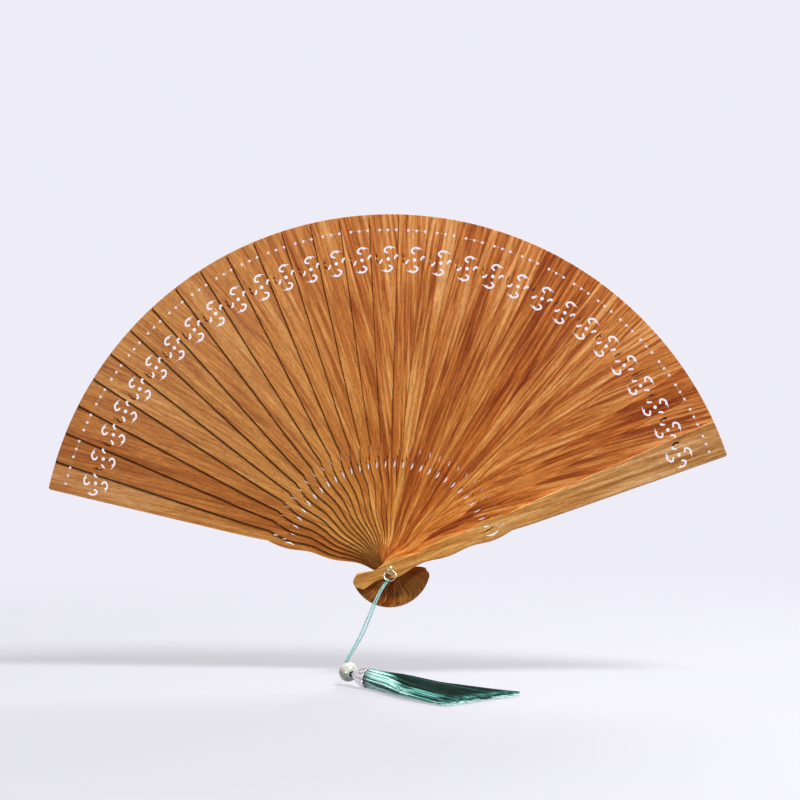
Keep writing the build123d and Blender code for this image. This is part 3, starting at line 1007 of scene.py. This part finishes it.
def ribbon_wood(name, angle, slant, offset, tones, spread):
    """Ribbon-striped hardwood, sanded and oiled: bands, fine grain and dark pores, low sheen."""
    material, tree, shader = new_material(name)
    place = add_node(tree, "ShaderNodeTexCoord", {}, {})
    turned = add_node(tree, "ShaderNodeMapping", {}, {
        "Vector": place.outputs["Object"], "Rotation": (0, math.radians(angle + slant), 0),
        "Location": (0, offset * MM, 0)})
    layers = {}
    for layer, (streak_mm, detail, bend) in WOOD_LAYERS.items():
        scaled = add_node(tree, "ShaderNodeMapping", {}, {
            "Vector": turned.outputs["Vector"], "Scale": tuple(1000 / size for size in streak_mm)})
        streaks = add_node(tree, "ShaderNodeTexNoise", {}, {
            "Vector": scaled.outputs["Vector"], "Scale": 1.0, "Detail": detail,
            "Roughness": 0.55, "Distortion": bend})
        layers[layer] = streaks.outputs["Fac"]
    figure = add_node(tree, "ShaderNodeMath", {"operation": "MULTIPLY_ADD"}, {
        0: layers["broad"], 1: 0.4, 2: layers["bands"]})
    figure_range = add_node(tree, "ShaderNodeMapRange", {}, {
        "Value": figure.outputs["Value"], "From Min": 0.70 - spread, "From Max": 0.70 + spread})
    colour = add_node(tree, "ShaderNodeValToRGB", {}, {"Fac": figure_range.outputs["Result"]},
                      stops=list(zip(BAND_STOPS, tones)))
    # Near the rivet, where hands hold it, the wood is a little yellower.
    along_blade = add_node(tree, "ShaderNodeSeparateXYZ", {}, {"Vector": turned.outputs["Vector"]})
    reach = add_node(tree, "ShaderNodeMapRange", {}, {
        "Value": along_blade.outputs["X"], "From Min": 30 * MM, "From Max": 150 * MM})
    tint = add_node(tree, "ShaderNodeValToRGB", {}, {"Fac": reach.outputs["Result"]},
                    stops=HANDLED_TINT)
    tinted = add_node(tree, "ShaderNodeVectorMath", {"operation": "MULTIPLY"}, {
        0: colour.outputs["Color"], 1: tint.outputs["Color"]})
    grain_shade = add_node(tree, "ShaderNodeMapRange", {}, {
        "Value": layers["grain"], "From Min": 0.3, "From Max": 0.7, "To Min": 0.73, "To Max": 1.25})
    pore_shade = add_node(tree, "ShaderNodeMapRange", {}, {
        "Value": layers["pores"], "From Min": 0.34, "From Max": 0.5, "To Min": 0.7, "To Max": 1.04})
    shade = add_node(tree, "ShaderNodeMath", {"operation": "MULTIPLY"}, {
        0: grain_shade.outputs["Result"], 1: pore_shade.outputs["Result"]})
    grained = add_node(tree, "ShaderNodeVectorMath", {"operation": "SCALE"}, {
        0: tinted.outputs["Vector"], "Scale": shade.outputs["Value"]})
    tree.links.new(grained.outputs["Vector"], shader.inputs["Base Color"])
    rough = add_node(tree, "ShaderNodeMapRange", {}, {
        "Value": layers["grain"], "To Min": 0.62, "To Max": 0.44})
    tree.links.new(rough.outputs["Result"], shader.inputs["Roughness"])
    bump = add_node(tree, "ShaderNodeBump", {}, {
        "Height": shade.outputs["Value"], "Strength": 0.3, "Distance": 0.03 * MM})
    tree.links.new(bump.outputs["Normal"], shader.inputs["Normal"])
    set_shader(shader, {"Specular IOR Level": 0.12})
    return material


print("figure layers", list(WOOD_LAYERS))

# %% [markdown]
# ## Choosing the wood for each blade
#
# A maker saws sticks from several boards. Those on the left are a little greyer, a few are
# plainly redder, and the two guards are of a paler, calmer board. The bands lean off the blade's
# own line by a few degrees, and which way changes across the fan. Each material has four tones,
# dark to pale; the spread says how far the noise has to swing to reach the outer ones.

# %% Wood on the blades
STICK_TONES = ("#924720", "#b66b33", "#c98344", "#d89d64")
LEFT_TONES = ("#955230", "#ba7943", "#cb8d50", "#d9a46c")
RED_TONES = ("#742d10", "#984b1d", "#b1622a", "#c27b3f")
GUARD_TONES = ("#9a6232", "#b37d47", "#c18d58", "#cea06e")
BACK_TONES = ("#a5642f", "#bd7b42", "#ca8c54", "#d6a26c")
# How far a few sticks, counted from the left, go towards the red board.
REDDER = {1: 0.45, 2: 0.35, 3: 0.15, 18: 0.35, 19: 0.3, 21: 0.5, 22: 0.8, 27: 1.0, 28: 0.45}
BOARD_STEP_MM = 31.0
FRONT_GUARD_BOARD_MM = 900.0
shuffle = random.Random(7)


def mixed(first, second, share):
    """A hex colour between two others."""
    parts = [(int(first[i:i + 2], 16), int(second[i:i + 2], 16)) for i in (1, 3, 5)]
    blended = [min(max(round(a + (b - a) * share), 0), 255) for a, b in parts]
    return "#" + "".join(f"{part:02x}" for part in blended)


def stick_wood(name, order, angle):
    """The wood of one inner stick: its board's tones, its lean and its place along the board."""
    redder = REDDER.get(order, 0.0) + shuffle.uniform(-0.08, 0.14)
    leftward = smooth_step(90.0, 125.0, angle)
    on_right = smooth_step(125.0, 85.0, angle)
    tones = [mixed(mixed(stick, left, leftward), red, redder)
             for stick, left, red in zip(STICK_TONES, LEFT_TONES, RED_TONES)]
    lean = 9.0 * smooth_step(72.0, 100.0, angle) - 12.0 * smooth_step(52.0, 34.0, angle)
    lean += shuffle.uniform(-3.0, 3.0)
    return ribbon_wood(f"{name}_wood", angle, lean, BOARD_STEP_MM * order, tones,
                       0.34 - 0.17 * on_right)


for order, name in enumerate(stick_names, start=1):
    dress(name, stick_wood(name, order, blade_angles[name]))
dress("back_guard", ribbon_wood("back_guard_wood", blade_angles["back_guard"], 3.0, 0.0,
                                BACK_TONES, 0.26))
dress("front_guard", ribbon_wood("front_guard_wood", blade_angles["front_guard"], -3.0,
                                 FRONT_GUARD_BOARD_MM, GUARD_TONES, 0.19))
print("wood on", len(blade_angles), "blades")

# %% [markdown]
# ## The linking thread
#
# A pale thread runs from blade to blade through the row of holes near the tips, and keeps the
# open blades evenly spaced. On each blade it lies across the front face from hole to hole, dips
# into each, and goes on under the next blade's edge. Each blade carries its own stitch, so the
# stitches fold away with their blades, as the slack thread does.

# %% Linking thread
THREAD_HOLES = 172.0 * MM
THREAD_SPACING_MM = 4.25
THREAD_LIFT_MM = 0.062
THREAD_WIDTH = 0.2 * MM
THREAD_THICKNESS = 0.11 * MM
THREAD_SIDES = 8
thread_silk = twisted_silk("pale_link_thread", "#a07c66", "#c8a28c", "#e0c4b2")


def stitch_route(last):
    """Places across a blade as pairs, in millimetres: how far across, and how far in front."""
    route = []
    for hole in (THREAD_SPACING_MM, 0.0, -THREAD_SPACING_MM):
        if hole == THREAD_SPACING_MM:
            route += [(hole + 0.1, -0.32), (hole - 0.25, -0.25)]
        else:
            route += [(hole + 0.45, 0.0), (hole + 0.2, -0.1), (hole, -0.14), (hole - 0.2, -0.1)]
        route += [(hole - past, THREAD_LIFT_MM) for past in (0.55, 1.4, 2.8)]
    if last:
        return route[:-3] + [(-THREAD_SPACING_MM - 0.3, -0.3)]
    return route + [(-8.0, THREAD_LIFT_MM), (-8.9, THREAD_LIFT_MM)]


def add_ribbon(mesh, line, width, thickness):
    """A flattened thread whose broad side lies on the blade."""
    rings = []
    for index, point in enumerate(line):
        forward = (line[min(index + 1, len(line) - 1)] - line[max(index - 1, 0)]).normalized()
        side = forward.cross(Vector((0, 1, 0))).normalized()
        up = side.cross(forward).normalized()
        rings.append([])
        for corner in range(THREAD_SIDES):
            a = 2 * math.pi * corner / THREAD_SIDES
            flat = side * math.cos(a) * width / 2 + up * math.sin(a) * thickness / 2
            rings[-1].append(mesh.verts.new(point + flat))
    skin(mesh, rings, [0.4 * index for index in range(len(rings))])


for name, angle in blade_angles.items():
    turn = math.radians(angle)
    across = Vector((-math.sin(turn), 0, math.cos(turn)))
    hole_middle = Vector((math.cos(turn), 0, math.sin(turn))) * THREAD_HOLES
    hole_middle.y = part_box(name)[0].y
    line = [hole_middle + across * n * MM - Vector((0, lift * MM, 0))
            for n, lift in stitch_route(name == "front_guard")]
    stitch_mesh = bmesh.new()
    add_ribbon(stitch_mesh, line, THREAD_WIDTH, THREAD_THICKNESS)
    stitch = mesh_piece(f"link_{name}", stitch_mesh)
    finished(stitch, name, thread_silk)
print("stitches", len(blade_angles))

# %% [markdown]
# ## The floor
#
# The floor is a plain pale disc that fades out behind the fan into a pale lavender surround, as a
# paper sweep does. White paper under a strong lamp would burn out, so the paper's own colour is
# mid grey and an even glow lifts it to near white, which leaves room for a soft shadow. It is
# hidden from diffuse rays, so that its glow doesn't light the fan from below.

# %% Floor
FLOOR_RADIUS = 1.2
FADE_FORWARD = 0.35
FADE_START = 0.5
FADE_END = 1.05
bpy.ops.object.select_all(action="DESELECT")
bpy.ops.mesh.primitive_circle_add(vertices=96, radius=FLOOR_RADIUS, fill_type="NGON",
                                  location=(0, 0, table_z))
floor = bpy.context.object
floor.name = "paper_floor"
bpy.ops.object.transform_apply(location=True, rotation=True, scale=True)
floor_paper, floor_tree, floor_shader = new_material("paper_sweep")
floor_place = add_node(floor_tree, "ShaderNodeTexCoord", {}, {})
floor_flat = add_node(floor_tree, "ShaderNodeMapping", {}, {
    "Vector": floor_place.outputs["Object"], "Location": (0, FADE_FORWARD, 0), "Scale": (1, 1, 0)})
floor_far = add_node(floor_tree, "ShaderNodeVectorMath", {"operation": "LENGTH"}, {
    0: floor_flat.outputs["Vector"]})
floor_fade = add_node(floor_tree, "ShaderNodeMapRange", {"interpolation_type": "SMOOTHERSTEP"}, {
    "Value": floor_far.outputs["Value"], "From Min": FADE_START, "From Max": FADE_END})
floor_glow = add_node(floor_tree, "ShaderNodeEmission", {}, {
    "Color": linear("#f2f1f9"), "Strength": 0.53})
floor_mix = add_node(floor_tree, "ShaderNodeAddShader", {}, {
    0: floor_shader.outputs["BSDF"], 1: floor_glow.outputs["Emission"]})
floor_clear = add_node(floor_tree, "ShaderNodeBsdfTransparent", {}, {})
floor_out = add_node(floor_tree, "ShaderNodeMixShader", {}, {
    "Fac": floor_fade.outputs["Result"], 1: floor_mix.outputs["Shader"],
    2: floor_clear.outputs["BSDF"]})
floor_surface = floor_tree.nodes["Material Output"].inputs["Surface"]
floor_tree.links.new(floor_out.outputs["Shader"], floor_surface)
set_shader(floor_shader, {
    "Base Color": linear("#707075"), "Roughness": 0.9, "Specular IOR Level": 0.1})
floor.data.materials.append(floor_paper)
floor.visible_diffuse = False
print("floor at", round(floor.data.vertices[0].co.z / MM, 2), "mm")

# %% [markdown]
# ## The surround
#
# The surround is what the camera and the polished metals see: pale lavender all round. As light
# it would be far too even and would wash the blades' thin shadows away, so diffuse rays get only
# a weak fill of the same colour. A Light Path node tells the two apart.

# %% Surround
PALE_LAVENDER = "#eeedf7"
FILL = 0.13
world = bpy.data.worlds.new("studio")
bpy.context.scene.world = world
world.use_nodes = True
surround = world.node_tree
surround_fill = surround.nodes["Background"]
set_shader(surround_fill, {"Color": linear(PALE_LAVENDER), "Strength": FILL})
surround_seen = add_node(surround, "ShaderNodeBackground", {}, {
    "Color": linear(PALE_LAVENDER), "Strength": 1.0})
ray_kind = add_node(surround, "ShaderNodeLightPath", {}, {})
surround_mix = add_node(surround, "ShaderNodeMixShader", {}, {
    "Fac": ray_kind.outputs["Is Diffuse Ray"], 1: surround_seen.outputs["Background"],
    2: surround_fill.outputs["Background"]})
surround.links.new(surround_mix.outputs["Shader"], surround.nodes["World Output"].inputs["Surface"])


print("surround", PALE_LAVENDER, "fill", FILL)

# %% [markdown]
# ## The lamps
#
# One large soft lamp hangs above, in front and to the right. It grazes the blades, so each casts
# a thin soft shadow on its left neighbour. A weaker lamp behind lets the fan's back be seen. A
# narrow spot near the floor stands for the light that pale paper throws up at the butts and the
# tassel, which the floor itself isn't allowed to give.

# %% Lamps
def add_lamp(kind, name, place, aim, power, settings):
    """A lamp at a place, turned towards its aim."""
    data = bpy.data.lights.new(name, kind)
    data.energy = power
    for key, value in settings.items():
        setattr(data, key, value)
    lamp = bpy.data.objects.new(name, data)
    lamp.location = place
    lamp.rotation_euler = (Vector(place) - Vector(aim)).to_track_quat("Z", "Y").to_euler()
    bpy.context.scene.collection.objects.link(lamp)


KEY_DIRECTION = Vector((0.33, -0.43, 0.84)).normalized()
KEY_DISTANCE = 1.5
fan_middle = Vector((0, 0, 0.08))
add_lamp("AREA", "key_lamp", fan_middle + KEY_DIRECTION * KEY_DISTANCE, fan_middle, 47.0,
         {"size": 0.42})
add_lamp("AREA", "back_lamp", (0.3, 1.5, 0.75), fan_middle, 26.0, {"size": 0.6})
add_lamp("SPOT", "floor_bounce", (-0.28, -0.62, -0.02), (0.02, -0.08, -0.055), 13.0,
         {"spot_size": math.radians(15), "spot_blend": 0.8, "shadow_soft_size": 0.08})
print("lamps", [lamp.name for lamp in bpy.data.lights])

# %% [markdown]
# ## The CAD cord
#
# The CAD model's two cord strands are hidden, since the cord's two halves modelled above take
# their place.

# %% Finish
for side_name, strand in cord_pieces.items():
    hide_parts(f"cord_strand_{side_name}")
